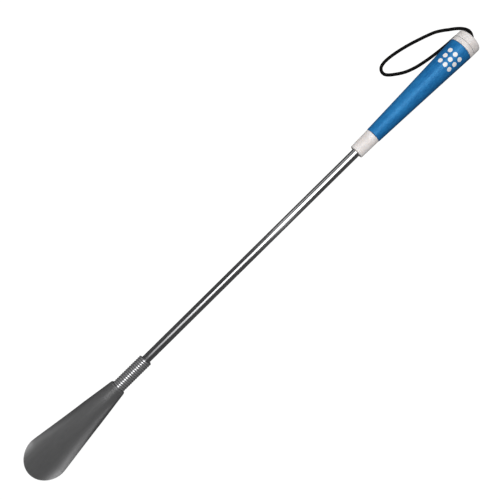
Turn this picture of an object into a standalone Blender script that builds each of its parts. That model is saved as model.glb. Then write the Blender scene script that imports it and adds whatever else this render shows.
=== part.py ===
"""Long-handled spring shoehorn: a stamped horn on a close-coiled spring neck, a chromed tube and a tapered grip.

Frame: metres, +Z up. The object lies on the plane z = 0 with its long axis along X, the horn's tip at -X and the
grip's end cap at +X. The origin is under the middle of its length. The horn lies with its crowned back up.
"""

import math

import bmesh
import bpy
from mathutils import Vector

# ----------------------------------------------------------------------------- driving dimensions, in millimetres
LENGTH = 610.0            # tip of the horn to the end of the cap
AXIS_Z = 13.2             # height of the shaft's axis: the cap's radius, so the cap touches the ground
GAP = 0.3                 # clearance kept between pieces that touch on the real object

# stations along the length, measured from the horn's tip
WIDEST_AT = 23.7          # the horn is widest here
HORN_END = 125.4          # mouth of the rolled socket
SOCKET_START = 110.5      # from here to the mouth the sheet is rolled into a tube
SPRING_IN_SOCKET = 112.0  # blade end of the spring
SPRING_END = 164.0        # shaft end of the spring
SHAFT_START = 157.5
SHAFT_END = 560.0
FERRULE_START = 452.7
FERRULE_END = 475.8
SLEEVE_START = 476.1
SLEEVE_END = 596.2
COLLAR_START = 596.5
COLLAR_END = 601.3
CAP_START = 601.6

# horn
HORN_HALF_WIDTH = 22.5
HORN_SHEET = 1.2
HORN_TAPER = 0.1408       # loss of half width per unit of length
HORN_WIDE_ARC = 44.5      # half angle of the arc across the widest station, degrees
HORN_ROLL_ARC = 171.0     # half angle where the sheet is rolled round the spring
HORN_CRIMP = 1.8          # length of the socket's mouth that is closed down on the spring
HORN_SAG_POWER = 1.34     # how the crown line falls towards the tip

# spring
WIRE_R = 1.0
COIL_R = 5.8
PITCH = 2.35
COIL_ENDS_AT = 222.0      # where round the shaft the wire ends, degrees from +Y towards +Z; wound right-handed

# shaft
SHAFT_R = 4.5
SHAFT_WALL = 1.0

# grip
FERRULE_R = (7.5, 7.95)
SLEEVE_R = (8.3, 13.15)
SLEEVE_WALL = 2.0
CAP_R = 13.2
CAP_ROUND = 2.4
CORD_HOLE_R = 3.8
SPIGOT_R = 6.0
CAP_SPIGOT_R = 10.5
CAP_CAVITY_R = 8.2

# cross pin
PIN_AT = 540.0
PIN_R = 1.5

# wrist loop
CORD_D = 3.2
LEG_OFFSET = 1.75         # the two legs lie one over the other in the cord hole

FACETS = 32

MM = 0.001


# ----------------------------------------------------------------------------- helpers
def clear_scene():
    for ob in list(bpy.data.objects):
        bpy.data.objects.remove(ob, do_unlink=True)


def make_material(name, colour, roughness, metallic):
    mat = bpy.data.materials.new(name)
    mat.use_nodes = True
    shader = mat.node_tree.nodes["Principled BSDF"]
    shader.inputs["Base Color"].default_value = (*colour, 1.0)
    shader.inputs["Roughness"].default_value = roughness
    shader.inputs["Metallic"].default_value = metallic
    mat.diffuse_color = (*colour, 1.0)
    return mat


def finish(ob, mat, sharp=40.0):
    ob.data.materials.clear()
    ob.data.materials.append(mat)
    if ob.type == "MESH":
        ob.data.shade_smooth()
        ob.data.set_sharp_from_angle(angle=math.radians(sharp))
    return ob


def add_mesh(name, verts, faces, origin=(0.0, 0.0, 0.0)):
    """verts are millimetres in the object's frame; the object's own origin goes to origin (millimetres)."""
    o = Vector(origin)
    mesh = bpy.data.meshes.new(name)
    mesh.from_pydata([(Vector(v) - o) * MM for v in verts], [], faces)
    bm = bmesh.new()
    bm.from_mesh(mesh)
    bmesh.ops.recalc_face_normals(bm, faces=bm.faces)
    bm.to_mesh(mesh)
    bm.free()
    mesh.update()
    ob = bpy.data.objects.new(name, mesh)
    ob.location = o * MM
    bpy.context.scene.collection.objects.link(ob)
    return ob


def from_tip(x):
    """Distance from the horn's tip to the row's X."""
    return x - LENGTH / 2


def turned(name, profile, facets=FACETS, origin=(0.0, 0.0, AXIS_Z), closed_loop=False):
    """A solid turned about the shaft's axis. profile: (distance from the tip, radius) pairs, radius 0 on the axis.

    With closed_loop the profile is a ring's section, and its last point joins its first. A flat facet faces straight
    down, so a turned piece can rest on the ground.
    """
    verts, rings = [], []
    for x, r in profile:
        if r < 1e-9:
            rings.append([len(verts)])
            verts.append((from_tip(x), 0.0, AXIS_Z))
            continue
        scale = 1.0 / math.cos(math.pi / facets) if r == CAP_R else 1.0
        ring = []
        for i in range(facets):
            a = 2 * math.pi * (i + 0.5) / facets - math.pi / 2
            ring.append(len(verts))
            verts.append((from_tip(x), scale * r * math.cos(a), AXIS_Z + scale * r * math.sin(a)))
        rings.append(ring)
    faces = []
    pairs = list(zip(rings, rings[1:]))
    if closed_loop:
        pairs.append((rings[-1], rings[0]))
    for a, b in pairs:
        if len(a) == 1 and len(b) == 1:
            continue
        for i in range(facets):
            j = (i + 1) % facets
            if len(a) == 1:
                faces.append((a[0], b[i], b[j]))
            elif len(b) == 1:
                faces.append((a[i], b[0], a[j]))
            else:
                faces.append((a[i], b[i], b[j], a[j]))
    return add_mesh(name, verts, faces, origin)


def swept(name, points, radius, sides, closed=False, origin=(0.0, 0.0, AXIS_Z)):
    """A round tube along points, its section carried along without twist."""
    pts = [Vector(p) for p in points]
    n = len(pts)
    tangents = []
    for i in range(n):
        if closed:
            t = pts[(i + 1) % n] - pts[i - 1]
        else:
            t = pts[min(i + 1, n - 1)] - pts[max(i - 1, 0)]
        tangents.append(t.normalized())
    normal = tangents[0].orthogonal().normalized()
    frames = [normal]
    for i in range(1, n):
        q = tangents[i - 1].rotation_difference(tangents[i])
        normal = (q @ frames[-1]).normalized()
        frames.append(normal)
    twist = 0.0
    if closed:
        q = tangents[-1].rotation_difference(tangents[0])
        back = q @ frames[-1]
        b0 = tangents[0].cross(frames[0])
        twist = math.atan2(back.dot(b0), back.dot(frames[0]))
    verts = []
    for i in range(n):
        b = tangents[i].cross(frames[i])
        for k in range(sides):
            a = 2 * math.pi * k / sides - twist * i / n
            verts.append(pts[i] + radius * (math.cos(a) * frames[i] + math.sin(a) * b))
    faces = []
    last = n if closed else n - 1
    for i in range(last):
        j = (i + 1) % n
        for k in range(sides):
            m = (k + 1) % sides
            faces.append((i * sides + k, i * sides + m, j * sides + m, j * sides + k))
    if not closed:
        faces.append(tuple(range(sides)))
        faces.append(tuple((n - 1) * sides + k for k in reversed(range(sides))))
    return add_mesh(name, verts, faces, origin)


def drill(ob, radius, centre, axis, length, facets=24):
    """A round hole through ob, cut by a wire-frame helper that is left in the scene."""
    z = Vector(axis).normalized()
    rot = z.to_track_quat("Z", "Y").to_matrix().to_4x4()
    verts, faces = [], []
    for s in (-0.5, 0.5):
        for i in range(facets):
            a = 2 * math.pi * (i + 0.5) / facets
            p = rot @ Vector((radius * math.cos(a), radius * math.sin(a), s * length))
            verts.append(p + Vector(centre))
    for i in range(facets):
        j = (i + 1) % facets
        faces.append((i, j, facets + j, facets + i))
    faces.append(tuple(reversed(range(facets))))
    faces.append(tuple(range(facets, 2 * facets)))
    cutter = add_mesh("cutter_" + ob.name, verts, faces, centre)
    cutter.display_type = "WIRE"
    cutter.hide_render = True
    mod = ob.modifiers.new("hole", "BOOLEAN")
    mod.operation = "DIFFERENCE"
    mod.solver = "EXACT"
    mod.object = cutter
    return cutter


def lerp(a, b, t):
    return a + (b - a) * t


# ----------------------------------------------------------------------------- the horn
def horn_half_width(x):
    if x < WIDEST_AT:
        t = (WIDEST_AT - x) / WIDEST_AT
        return HORN_HALF_WIDTH * max(0.0, 1.0 - t ** 2.05) ** (1.0 / 2.05)
    soft = 2.5
    straight = min(x, HORN_END - HORN_CRIMP)
    run = math.sqrt((straight - WIDEST_AT) ** 2 + soft ** 2) - soft
    w = HORN_HALF_WIDTH - HORN_TAPER * run
    if x > straight:
        # the socket's mouth is crimped down to the spring
        mouth = COIL_R + WIRE_R + GAP + HORN_SHEET
        w = lerp(w, mouth, ((x - straight) / HORN_CRIMP) ** 1.4)
    return w


def horn_arc(x):
    """Half angle of the sheet's arc and its outer radius at a station."""
    wide = math.radians(HORN_WIDE_ARC)
    w = horn_half_width(x)
    if x <= WIDEST_AT:
        r = HORN_HALF_WIDTH / math.sin(wide)
        return math.asin(min(1.0, w / r)), r
    t = min(1.0, (x - WIDEST_AT) / (SOCKET_START - WIDEST_AT))
    phi = lerp(wide, math.radians(HORN_ROLL_ARC), 0.25 * t + 0.75 * t ** 5)
    return phi, w / math.sin(min(phi, math.pi / 2))


def horn_stations():
    tip = [WIDEST_AT * (1.0 - math.cos(math.pi / 2 * k / 9)) for k in range(1, 10)]
    tip.insert(0, 0.06)
    body = [lerp(WIDEST_AT, 92.0, k / 11) for k in range(1, 12)]
    roll = [lerp(92.0, SOCKET_START, k / 7) for k in range(1, 8)]
    socket = [lerp(SOCKET_START, HORN_END - HORN_CRIMP, k / 3) for k in range(1, 4)]
    mouth = [HORN_END - HORN_CRIMP * (1 - k / 3) for k in range(1, 4)]
    return tip + body + roll + socket + mouth


def horn_crown(stations):
    """Height of the crown line's outer side at each station.

    It is coaxial with the spring in the socket, and falls towards the tip by as much as lets the sheet's lowest edge
    just touch the ground.
    """
    top = AXIS_Z + horn_half_width(SOCKET_START)
    falls = []
    for x in stations:
        if x >= SOCKET_START - 12.0:
            continue
        phi, r = horn_arc(x)
        depth = r - (r - HORN_SHEET) * math.cos(min(phi, math.pi))
        u = SOCKET_START - x
        falls.append((top + HORN_TAPER * u - depth) / u ** HORN_SAG_POWER)
    fall = min(falls)
    heights = []
    for x in stations:
        u = SOCKET_START - x
        if u <= 0:
            heights.append(AXIS_Z + horn_half_width(x))
        else:
            heights.append(top + HORN_TAPER * u - fall * u ** HORN_SAG_POWER)
    return heights


def make_horn(mat):
    stations = horn_stations()
    crown = horn_crown(stations)
    across = 22
    verts, faces = [], []
    for x, top in zip(stations, crown):
        phi, r = horn_arc(x)
        for layer in (r, r - HORN_SHEET):
            for k in range(across + 1):
                a = phi * (2.0 * k / across - 1.0)
                verts.append((from_tip(x), layer * math.sin(a), top - r + layer * math.cos(a)))
    row = across + 1
    n = len(stations)

    def at(i, layer, k):
        return (2 * i + layer) * row + k

    for i in range(n - 1):
        for k in range(across):
            faces.append((at(i, 0, k), at(i, 0, k + 1), at(i + 1, 0, k + 1), at(i + 1, 0, k)))
            faces.append((at(i, 1, k + 1), at(i, 1, k), at(i + 1, 1, k), at(i + 1, 1, k + 1)))
        faces.append((at(i, 0, 0), at(i + 1, 0, 0), at(i + 1, 1, 0), at(i, 1, 0)))
        faces.append((at(i, 1, across), at(i + 1, 1, across), at(i + 1, 0, across), at(i, 0, across)))
    for i, flip in ((0, False), (n - 1, True)):
        for k in range(across):
            f = (at(i, 0, k), at(i, 1, k), at(i, 1, k + 1), at(i, 0, k + 1))
            faces.append(tuple(reversed(f)) if flip else f)
    ob = add_mesh("blade", verts, faces, (from_tip(BLADE_HINGE_AT), 0.0, AXIS_Z))
    return finish(ob, mat)


def make_socket_stud(mat):
    head_a, head_b = 106.8, SPRING_IN_SOCKET - 2 * GAP
    r_a = horn_half_width(head_a) - HORN_SHEET - 0.75
    r_b = horn_half_width(head_b) - HORN_SHEET - 0.45
    stem = COIL_R - WIRE_R - 0.45
    end = HORN_END - 1.0
    prof = [(head_a, 0.0), (head_a, r_a - 0.8), (head_a + 0.8, r_a), (head_b, r_b), (head_b, stem), (end - 1.2, stem),
            (end, stem - 1.2), (end, 0.0)]
    return finish(turned("socket_stud", prof, 24, (from_tip(BLADE_HINGE_AT), 0.0, AXIS_Z)), mat)


# ----------------------------------------------------------------------------- the spring neck
# The free length between the socket's mouth and the shaft's end bends. Its two quarter points are the joints' axes:
# up and down at the shaft's side, sideways at the horn's side.
FREE_START = 125.0
FREE_END = 156.3
SPRING_HINGE_AT = lerp(FREE_END, FREE_START, 0.25)
BLADE_HINGE_AT = lerp(FREE_END, FREE_START, 0.75)


def make_spring(mat):
    turns = (SPRING_END - SPRING_IN_SOCKET - 2 * WIRE_R) / PITCH
    per_turn = 18
    n = int(round(turns * per_turn))
    start = math.radians(COIL_ENDS_AT) - 2 * math.pi * turns
    pts = []
    for i in range(n + 1):
        t = i / n
        a = start + 2 * math.pi * turns * t
        x = from_tip(SPRING_IN_SOCKET + WIRE_R + t * (SPRING_END - SPRING_IN_SOCKET - 2 * WIRE_R))
        pts.append((x, COIL_R * math.cos(a), AXIS_Z + COIL_R * math.sin(a)))
    ob = swept("flex_spring", pts, WIRE_R, 6, origin=(from_tip(SPRING_HINGE_AT), 0.0, AXIS_Z))
    return finish(ob, mat, 80.0)


# ----------------------------------------------------------------------------- the shaft
def make_shaft(mat):
    r, ri, c = SHAFT_R, SHAFT_R - SHAFT_WALL, 0.3
    prof = [(SHAFT_START, ri), (SHAFT_START, r - c), (SHAFT_START + c, r), (SHAFT_END - c, r), (SHAFT_END, r - c),
            (SHAFT_END, ri)]
    ob = finish(turned("shaft_tube", prof, closed_loop=True), mat)
    drill(ob, PIN_R + GAP, (from_tip(PIN_AT), 0.0, AXIS_Z), (0, 1, 0), 30.0)
    return ob


def make_tip_plug(mat):
    r = SHAFT_R - SHAFT_WALL - 0.25
    head = SHAFT_R - 0.25
    face = SHAFT_START - GAP
    prof = [(FREE_END - 0.3, 0.0), (FREE_END - 0.2, head - 1.6), (FREE_END + 0.2, head - 0.5), (face - 0.35, head),
            (face, head - 0.2), (face, r), (face + 8.0, r), (face + 8.6, r - 0.6), (face + 8.6, 0.0)]
    return finish(turned("shaft_tip_plug", prof, 24), mat)


# ----------------------------------------------------------------------------- the grip
def sleeve_radius(x):
    """The grip's outline: an even flare, very slightly hollow."""
    t = (x - SLEEVE_START) / (SLEEVE_END - SLEEVE_START)
    return lerp(SLEEVE_R[0], SLEEVE_R[1], t - 0.02 * math.sin(math.pi * t))


def make_ferrule(mat):
    r0, r1 = FERRULE_R
    bore = SHAFT_R + GAP
    spigot_end = SLEEVE_START + 9.0
    prof = [(FERRULE_START, bore), (FERRULE_START, r0 - 0.9), (FERRULE_START + 0.3, r0 - 0.3),
            (FERRULE_START + 1.0, r0), (FERRULE_END, r1), (FERRULE_END, SPIGOT_R), (spigot_end - 0.6, SPIGOT_R),
            (spigot_end, SPIGOT_R - 0.5), (spigot_end, bore)]
    return finish(turned("lower_ferrule", prof, closed_loop=True), mat)


def make_sleeve(mat):
    stops = 8
    outer = [(lerp(SLEEVE_START, SLEEVE_END, k / stops), sleeve_radius(lerp(SLEEVE_START, SLEEVE_END, k / stops)))
             for k in range(stops + 1)]
    outer = [(SLEEVE_START, outer[0][1] - 0.4), (SLEEVE_START + 0.4, outer[0][1])] + outer[1:-1]
    outer += [(SLEEVE_END - 0.4, sleeve_radius(SLEEVE_END - 0.4)), (SLEEVE_END, SLEEVE_R[1] - 0.4)]
    inner = [(x, sleeve_radius(x) - SLEEVE_WALL) for x in
             [lerp(SLEEVE_END, SLEEVE_START, k / 4) for k in range(5)]]
    return finish(turned("grip_sleeve", outer + inner, closed_loop=True), mat)


def make_core(mat):
    start, end = SLEEVE_START + 10.0, 585.0
    bore = SHAFT_R + GAP
    outer = [(x, sleeve_radius(x) - SLEEVE_WALL - GAP - 0.15) for x in [lerp(start, end, k / 4) for k in range(5)]]
    tail = SHAFT_END + 0.5
    # behind the shaft's end the core is closed by a web, and the rest of it is an open cup
    prof = [(start, bore)] + outer + [(end, outer[-1][1] - 2.5), (tail + 4.0, outer[-1][1] - 3.0), (tail + 4.0, 0.0)]
    prof += [(tail, 0.0), (tail, bore)]
    ob = turned("handle_core", prof, closed_loop=True)
    finish(ob, mat)
    drill(ob, PIN_R + GAP, (from_tip(PIN_AT), 0.0, AXIS_Z), (0, 1, 0), 40.0)
    return ob


def make_pin(mat):
    half = sleeve_radius(PIN_AT) - SLEEVE_WALL - GAP - 0.15 - 0.6
    c = 0.4
    prof = [(-half, 0.0), (-half, PIN_R - c), (-half + c, PIN_R), (half - c, PIN_R), (half, PIN_R - c), (half, 0.0)]
    facets = 16
    verts, faces, rings = [], [], []
    for y, r in prof:
        if r == 0.0:
            rings.append([len(verts)])
            verts.append((from_tip(PIN_AT), y, AXIS_Z))
        else:
            rings.append(list(range(len(verts), len(verts) + facets)))
            for i in range(facets):
                a = 2 * math.pi * i / facets
                verts.append((from_tip(PIN_AT) + r * math.cos(a), y, AXIS_Z + r * math.sin(a)))
    for a, b in zip(rings, rings[1:]):
        for i in range(facets):
            j = (i + 1) % facets
            if len(a) == 1:
                faces.append((a[0], b[i], b[j]))
            elif len(b) == 1:
                faces.append((a[i], b[0], a[j]))
            else:
                faces.append((a[i], b[i], b[j], a[j]))
    return finish(add_mesh("core_pin", verts, faces, (from_tip(PIN_AT), 0.0, AXIS_Z)), mat)


def make_collar(mat):
    bore = CAP_SPIGOT_R + GAP
    prof = [(COLLAR_START, bore), (COLLAR_START, CAP_R - 0.25), (COLLAR_START + 0.25, CAP_R), (COLLAR_END - 0.25, CAP_R),
            (COLLAR_END, CAP_R - 0.25), (COLLAR_END, bore)]
    return finish(turned("upper_collar", prof, closed_loop=True), mat)


def make_cap(mat):
    spigot_start = 588.0
    wall_inside = LENGTH - 2.8
    prof = [(spigot_start, CAP_CAVITY_R), (spigot_start, CAP_SPIGOT_R - 0.5), (spigot_start + 0.5, CAP_SPIGOT_R),
            (CAP_START, CAP_SPIGOT_R), (CAP_START, CAP_R - 0.25), (CAP_START + 0.25, CAP_R),
            (LENGTH - CAP_ROUND, CAP_R)]
    for k in range(1, 5):
        a = math.pi / 2 * k / 4
        prof.append((LENGTH - CAP_ROUND + CAP_ROUND * math.sin(a), CAP_R - CAP_ROUND + CAP_ROUND * math.cos(a) - 1e-6))
    prof += [(LENGTH, CORD_HOLE_R + 0.5), (LENGTH - 0.5, CORD_HOLE_R), (wall_inside, CORD_HOLE_R),
             (wall_inside, CAP_CAVITY_R)]
    return finish(turned("end_cap", prof, closed_loop=True), mat)


# ----------------------------------------------------------------------------- the wrist loop
def smooth_curve(route, step):
    """Points an even step apart along a centripetal Catmull-Rom curve through the route."""
    pts = [Vector(p) for p in route]
    pts = [2 * pts[0] - pts[1]] + pts + [2 * pts[-1] - pts[-2]]
    dense = []
    for i in range(1, len(pts) - 2):
        p0, p1, p2, p3 = pts[i - 1:i + 3]
        t0 = 0.0
        t1 = t0 + (p1 - p0).length ** 0.5
        t2 = t1 + (p2 - p1).length ** 0.5
        t3 = t2 + (p3 - p2).length ** 0.5
        for k in range(24):
            t = lerp(t1, t2, k / 24)
            a1 = (t1 - t) / (t1 - t0) * p0 + (t - t0) / (t1 - t0) * p1
            a2 = (t2 - t) / (t2 - t1) * p1 + (t - t1) / (t2 - t1) * p2
            a3 = (t3 - t) / (t3 - t2) * p2 + (t - t2) / (t3 - t2) * p3
            b1 = (t2 - t) / (t2 - t0) * a1 + (t - t0) / (t2 - t0) * a2
            b2 = (t3 - t) / (t3 - t1) * a2 + (t - t1) / (t3 - t1) * a3
            dense.append((t2 - t) / (t2 - t1) * b1 + (t - t1) / (t2 - t1) * b2)
    dense.append(pts[-2])
    runs = [0.0]
    for a, b in zip(dense, dense[1:]):
        runs.append(runs[-1] + (b - a).length)
    count = max(2, int(round(runs[-1] / step)))
    out, j = [], 0
    for k in range(count + 1):
        s = runs[-1] * k / count
        while j < len(runs) - 2 and runs[j + 1] < s:
            j += 1
        f = (s - runs[j]) / max(1e-9, runs[j + 1] - runs[j])
        out.append(dense[j].lerp(dense[j + 1], min(1.0, f)))
    return out, runs[-1]


GROUND = CORD_D / 2 + 0.12
UPPER_LEG = AXIS_Z + LEG_OFFSET
LOWER_LEG = AXIS_Z - LEG_OFFSET

# x, y, z in millimetres. Out of the hole on top, round the cap's corner and down to the ground, out beside the grip,
# back in under the grip's flare, and up into the hole below the first leg.
LOOP_ROUTE = [
    (300.9, 0.0, UPPER_LEG), (302.2, 0.0, UPPER_LEG), (303.6, 0.0, UPPER_LEG), (306.2, 0.6, 14.8),
    (308.3, 2.2, 14.4), (309.6, 4.6, 13.8), (309.9, 7.6, 12.9), (308.5, 12.0, 10.8), (304.8, 17.0, 8.0), (299.4, 21.8, 5.1),
    (294.0, 26.3, 2.9), (288.6, 29.7, 2.0), (282.0, 32.4, GROUND), (273.0, 35.5, GROUND), (259.0, 39.7, GROUND),
    (245.8, 42.6, GROUND), (236.4, 43.8, GROUND), (230.0, 43.6, GROUND), (226.1, 42.2, GROUND),
    (223.8, 39.2, GROUND), (223.7, 35.6, GROUND), (225.6, 32.6, GROUND), (231.0, 28.1, GROUND), (239.8, 22.5, GROUND),
    (250.0, 18.6, GROUND), (260.0, 16.3, GROUND), (271.1, 14.5, GROUND), (281.0, 13.3, GROUND),
    (291.0, 12.5, GROUND), (299.6, 12.0, 1.9), (305.0, 11.1, 2.7), (308.6, 9.1, 4.2), (310.3, 6.3, 6.1),
    (310.4, 3.2, 8.2), (309.1, 0.7, 9.9), (306.8, -0.8, 11.0), (303.8, -1.2, 11.4), (300.9, -1.2, LOWER_LEG),
]


def make_loop(mat):
    pts, length = smooth_curve(LOOP_ROUTE, 3.3)
    curve = bpy.data.curves.new("wrist_loop", "CURVE")
    curve.dimensions = "3D"
    curve.bevel_depth = CORD_D / 2 * MM
    curve.bevel_resolution = 2
    curve.use_fill_caps = True
    spline = curve.splines.new("POLY")
    spline.points.add(len(pts) - 1)
    for point, p in zip(spline.points, pts):
        point.co = (p.x * MM, p.y * MM, p.z * MM, 1.0)
    ob = bpy.data.objects.new("wrist_loop", curve)
    bpy.context.scene.collection.objects.link(ob)
    print("wrist loop: length %.1f mm in %d points" % (length, len(pts)))
    return finish(ob, mat)


def make_knot(mat):
    """The cord's two ends, tied together: a three-lobed knot, wider than the cord hole."""
    centre = Vector((from_tip(602.4), 0.0, AXIS_Z))
    ring, lobe, n = 3.6, 1.6, 66
    pts = []
    for k in range(n):
        t = 2 * math.pi * k / n
        out = ring + lobe * math.cos(3 * t)
        pts.append(centre + Vector((lobe * math.sin(3 * t), out * math.cos(2 * t), out * math.sin(2 * t))))
    ob = swept("loop_knot", pts, 1.4, 8, closed=True, origin=tuple(centre))
    return finish(ob, mat, 80.0)


# ----------------------------------------------------------------------------- build
def main():
    clear_scene()
    steel = make_material("horn_steel", (0.082, 0.082, 0.084), 0.42, 1.0)
    stud = make_material("stud_steel", (0.45, 0.45, 0.46), 0.35, 1.0)
    wire = make_material("spring_wire", (0.16, 0.16, 0.165), 0.3, 1.0)
    chrome = make_material("shaft_chrome", (0.72, 0.72, 0.74), 0.12, 1.0)
    plug = make_material("plug_plastic", (0.03, 0.03, 0.03), 0.5, 0.0)
    pin = make_material("pin_steel", (0.55, 0.55, 0.57), 0.3, 1.0)
    white = make_material("ferrule_plastic", (0.76, 0.73, 0.70), 0.4, 0.0)
    white_b = make_material("collar_plastic", (0.76, 0.73, 0.70), 0.4, 0.0)
    white_c = make_material("cap_plastic", (0.76, 0.73, 0.70), 0.4, 0.0)
    blue = make_material("grip_blue", (0.02, 0.14, 0.42), 0.45, 0.0)
    core = make_material("core_plastic", (0.6, 0.58, 0.55), 0.5, 0.0)
    black = make_material("cord_black", (0.012, 0.011, 0.011), 0.7, 0.0)
    knot = make_material("knot_black", (0.012, 0.011, 0.011), 0.7, 0.0)
    make_horn(steel)
    make_socket_stud(stud)
    make_spring(wire)
    make_shaft(chrome)
    make_tip_plug(plug)
    make_ferrule(white)
    make_sleeve(blue)
    make_core(core)
    make_pin(pin)
    make_collar(white_b)
    make_cap(white_c)
    make_loop(black)
    make_knot(knot)
    bpy.context.view_layer.update()


main()
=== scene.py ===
"""Looks of the long-handled spring shoehorn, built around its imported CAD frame. Metres, in the CAD frame: +X runs from
the horn's tip to the end cap, +Z is up out of the horn's crowned back, and the wrist loop lies on the +Y side."""

import math

import bmesh
import bpy
import numpy as np
from mathutils import Matrix, Vector


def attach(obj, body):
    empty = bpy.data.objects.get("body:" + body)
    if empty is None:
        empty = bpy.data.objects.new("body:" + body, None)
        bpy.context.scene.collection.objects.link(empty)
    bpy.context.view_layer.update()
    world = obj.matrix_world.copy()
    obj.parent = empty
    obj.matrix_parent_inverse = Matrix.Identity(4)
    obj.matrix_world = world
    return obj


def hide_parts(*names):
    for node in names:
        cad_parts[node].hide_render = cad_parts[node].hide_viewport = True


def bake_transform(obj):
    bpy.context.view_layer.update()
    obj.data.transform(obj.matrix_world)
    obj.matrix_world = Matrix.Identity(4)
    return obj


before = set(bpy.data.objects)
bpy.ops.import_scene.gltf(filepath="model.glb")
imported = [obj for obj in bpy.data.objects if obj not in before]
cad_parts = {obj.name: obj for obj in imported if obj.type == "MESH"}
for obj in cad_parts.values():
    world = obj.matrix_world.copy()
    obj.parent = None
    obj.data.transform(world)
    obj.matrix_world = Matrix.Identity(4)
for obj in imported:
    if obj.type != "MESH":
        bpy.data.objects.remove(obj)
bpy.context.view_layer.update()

MM = 0.001
LENGTH = 610.0
AXIS_Z = 13.2


# ============================================================================= small helpers
def lerp(a, b, t):
    return a + (b - a) * t


def smooth01(t):
    t = np.clip(t, 0.0, 1.0)
    return t * t * (3 - 2 * t)


def from_tip(x):
    """The CAD design measures stations from the horn's tip; this gives the frame's X, still in millimetres."""
    return x - LENGTH / 2


def mesh_piece(name, verts, faces, uvs=None, attributes=None, sharp=None, recalc=True):
    """verts in millimetres. uvs: one (u, v) per face corner, in the order of the faces. attributes: name to values."""
    mesh = bpy.data.meshes.new(name)
    mesh.from_pydata((np.asarray(verts, float) * MM).tolist(), [], [tuple(int(i) for i in f) for f in faces])
    if uvs is not None:
        layer = mesh.uv_layers.new(name="along")
        layer.data.foreach_set("uv", np.asarray(uvs, np.float32).ravel())
    for key, values in (attributes or {}).items():
        a = mesh.attributes.new(key, "FLOAT", "POINT")
        a.data.foreach_set("value", np.asarray(values, np.float32).ravel())
    if recalc:
        bm = bmesh.new()
        bm.from_mesh(mesh)
        bmesh.ops.recalc_face_normals(bm, faces=bm.faces)
        bm.to_mesh(mesh)
        bm.free()
    mesh.shade_smooth()
    if sharp is not None:
        mesh.set_sharp_from_angle(angle=math.radians(sharp))
    mesh.update()
    ob = bpy.data.objects.new(name, mesh)
    bpy.context.scene.collection.objects.link(ob)
    return ob


def dress(ob, mat):
    ob.data.materials.clear()
    ob.data.materials.append(mat)
    return ob


def round_corners(points, radii, steps=5, closed=True):
    """Rounds the corners of a profile. points: (x, r); radii: one per point, 0 leaves the corner."""
    n = len(points)
    out = []
    for i, (p, rad) in enumerate(zip(points, radii)):
        p = np.array(p, float)
        if rad <= 0 or (not closed and i in (0, n - 1)):
            out.append(tuple(p))
            continue
        a, b = np.array(points[i - 1], float), np.array(points[(i + 1) % n], float)
        da, db = a - p, b - p
        la, lb = np.linalg.norm(da), np.linalg.norm(db)
        da, db = da / la, db / lb
        cosine = float(np.clip(np.dot(da, db), -1, 1))
        half = math.acos(cosine) / 2
        if abs(half - math.pi / 2) < 0.02:
            out.append(tuple(p))
            continue
        cut = min(rad / math.tan(half), 0.48 * la, 0.48 * lb)
        r = cut * math.tan(half)
        centre = p + (da + db) / np.linalg.norm(da + db) * (r / math.sin(half))
        s, e = p + da * cut - centre, p + db * cut - centre
        a0, a1 = math.atan2(s[1], s[0]), math.atan2(e[1], e[0])
        turn = (a1 - a0 + math.pi) % (2 * math.pi) - math.pi
        for k in range(steps + 1):
            t = a0 + turn * k / steps
            out.append((centre[0] + r * math.cos(t), centre[1] + r * math.sin(t)))
    return out


def lathe(name, profile, facets=96, closed=True, sharp=28.0, wobble=None):
    """A solid turned about the shaft's axis. profile: (distance from the tip, radius). Its UV runs along the profile, in
    metres, and round the axis, in turns."""
    verts, rings, run = [], [], [0.0]
    for a, b in zip(profile, profile[1:]):
        run.append(run[-1] + math.hypot(b[0] - a[0], b[1] - a[1]))
    for x, r in profile:
        if r < 1e-9:
            rings.append([len(verts)])
            verts.append((from_tip(x), 0.0, AXIS_Z))
            continue
        ring = []
        for i in range(facets):
            a = 2 * math.pi * (i + 0.5) / facets - math.pi / 2
            rr = r + (wobble(x, a, r) if wobble else 0.0)
            ring.append(len(verts))
            verts.append((from_tip(x), rr * math.cos(a), AXIS_Z + rr * math.sin(a)))
        rings.append(ring)
    m = len(rings)
    faces, uvs = [], []
    for j in range(m if closed else m - 1):
        a, b = rings[j], rings[(j + 1) % m]
        ua = run[j] * MM
        ub = (run[j + 1] if j + 1 < m else run[j] + math.hypot(profile[0][0] - profile[-1][0], profile[0][1] - profile[-1][1])) * MM
        for i in range(facets):
            k = (i + 1) % facets
            v0, v1 = i / facets, (i + 1) / facets
            if len(a) == 1 and len(b) == 1:
                continue
            if len(a) == 1:
                faces.append((a[0], b[i], b[k]))
                uvs += [(ua, (v0 + v1) / 2), (ub, v0), (ub, v1)]
            elif len(b) == 1:
                faces.append((a[i], b[0], a[k]))
                uvs += [(ua, v0), (ub, (v0 + v1) / 2), (ua, v1)]
            else:
                faces.append((a[i], b[i], b[k], a[k]))
                uvs += [(ua, v0), (ub, v0), (ub, v1), (ua, v1)]
    return mesh_piece(name, verts, faces, uvs, sharp=sharp)


def carry_frames(points, closed=False):
    """Tangents and untwisted normals along a line of points."""
    p = np.asarray(points, float)
    n = len(p)
    if closed:
        t = np.roll(p, -1, 0) - np.roll(p, 1, 0)
    else:
        t = np.empty_like(p)
        t[1:-1] = p[2:] - p[:-2]
        t[0], t[-1] = p[1] - p[0], p[-1] - p[-2]
    t /= np.linalg.norm(t, axis=1)[:, None]
    normals = np.empty_like(p)
    v = Vector(t[0]).orthogonal().normalized()
    normals[0] = v
    for i in range(1, n):
        v = (Vector(t[i - 1]).rotation_difference(Vector(t[i])) @ v).normalized()
        normals[i] = v
    twist = 0.0
    if closed:
        back = Vector(t[-1]).rotation_difference(Vector(t[0])) @ v
        b0 = Vector(t[0]).cross(Vector(normals[0]))
        twist = math.atan2(back.dot(b0), back.dot(Vector(normals[0])))
    return t, normals, twist


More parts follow.
